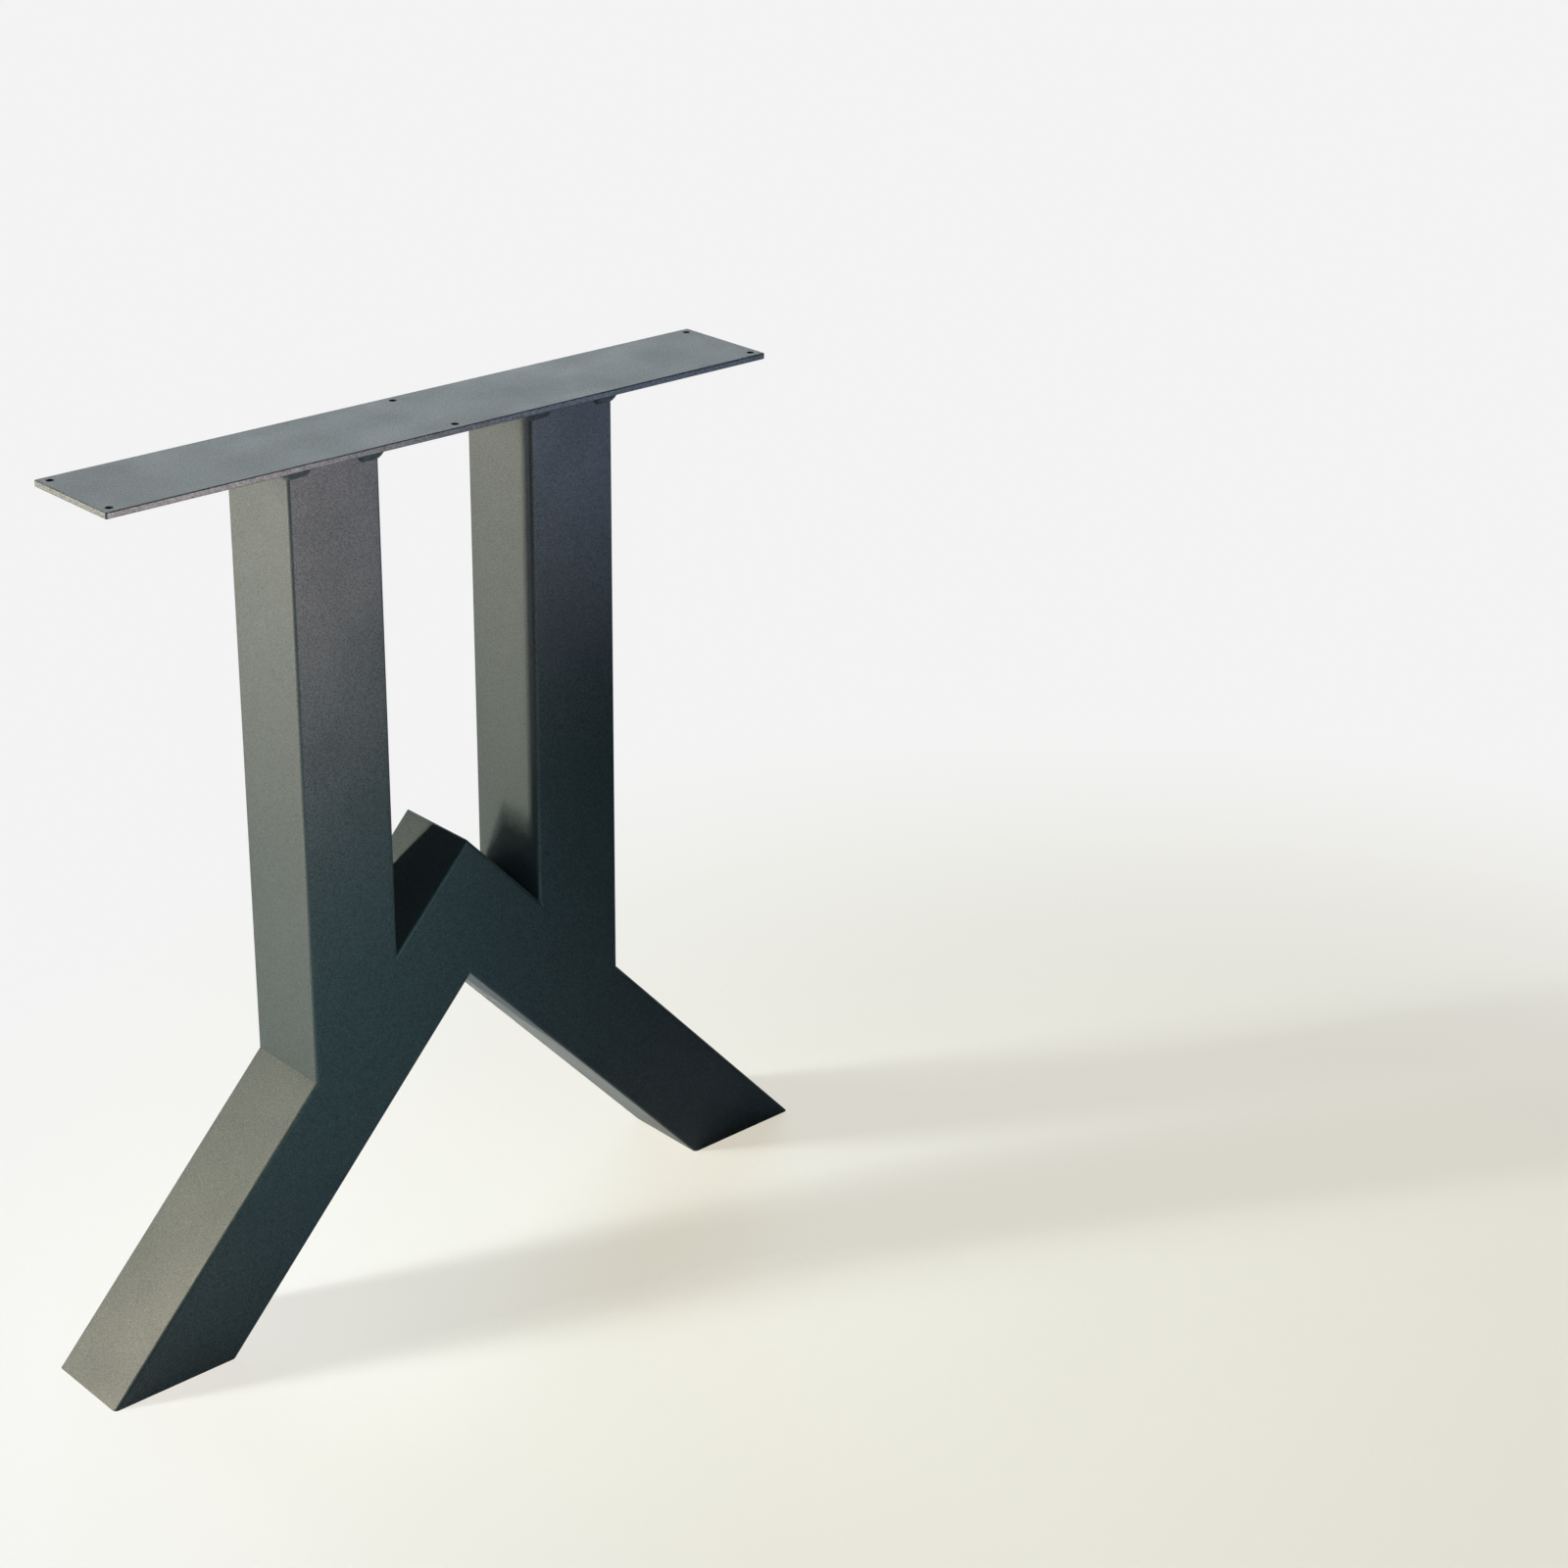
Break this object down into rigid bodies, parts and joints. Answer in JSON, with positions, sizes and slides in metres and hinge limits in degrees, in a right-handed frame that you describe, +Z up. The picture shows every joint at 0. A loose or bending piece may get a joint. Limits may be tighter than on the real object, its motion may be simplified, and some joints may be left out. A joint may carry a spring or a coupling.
{
  "type": "desk leg",
  "caption": "Welded steel desk leg: a flat screw-on top plate on upright square tubes that stand on a chevron of slanted square tubes, powder coated black.",
  "frame": {"origin": "on the floor, under the middle of the leg", "axes": "+Z up, from the floor to the mounting plate; +X along the plate and from foot to foot; +Y through the leg's thickness, from front to back"},
  "size_m": [0.69, 0.095, 0.71],
  "materials": {
    "powder_coat": "satin black powder coat with a fine grain, over steel"
  },
  "bodies": {
    "root": {"mounting_plate": "powder_coat", "left_post": "powder_coat", "right_post": "powder_coat", "left_strut": "powder_coat", "right_strut": "powder_coat", "left_foot_plate": "powder_coat", "right_foot_plate": "powder_coat", "plate_welds": "powder_coat", "knee_welds": "powder_coat"}
  },
  "joints": []
}
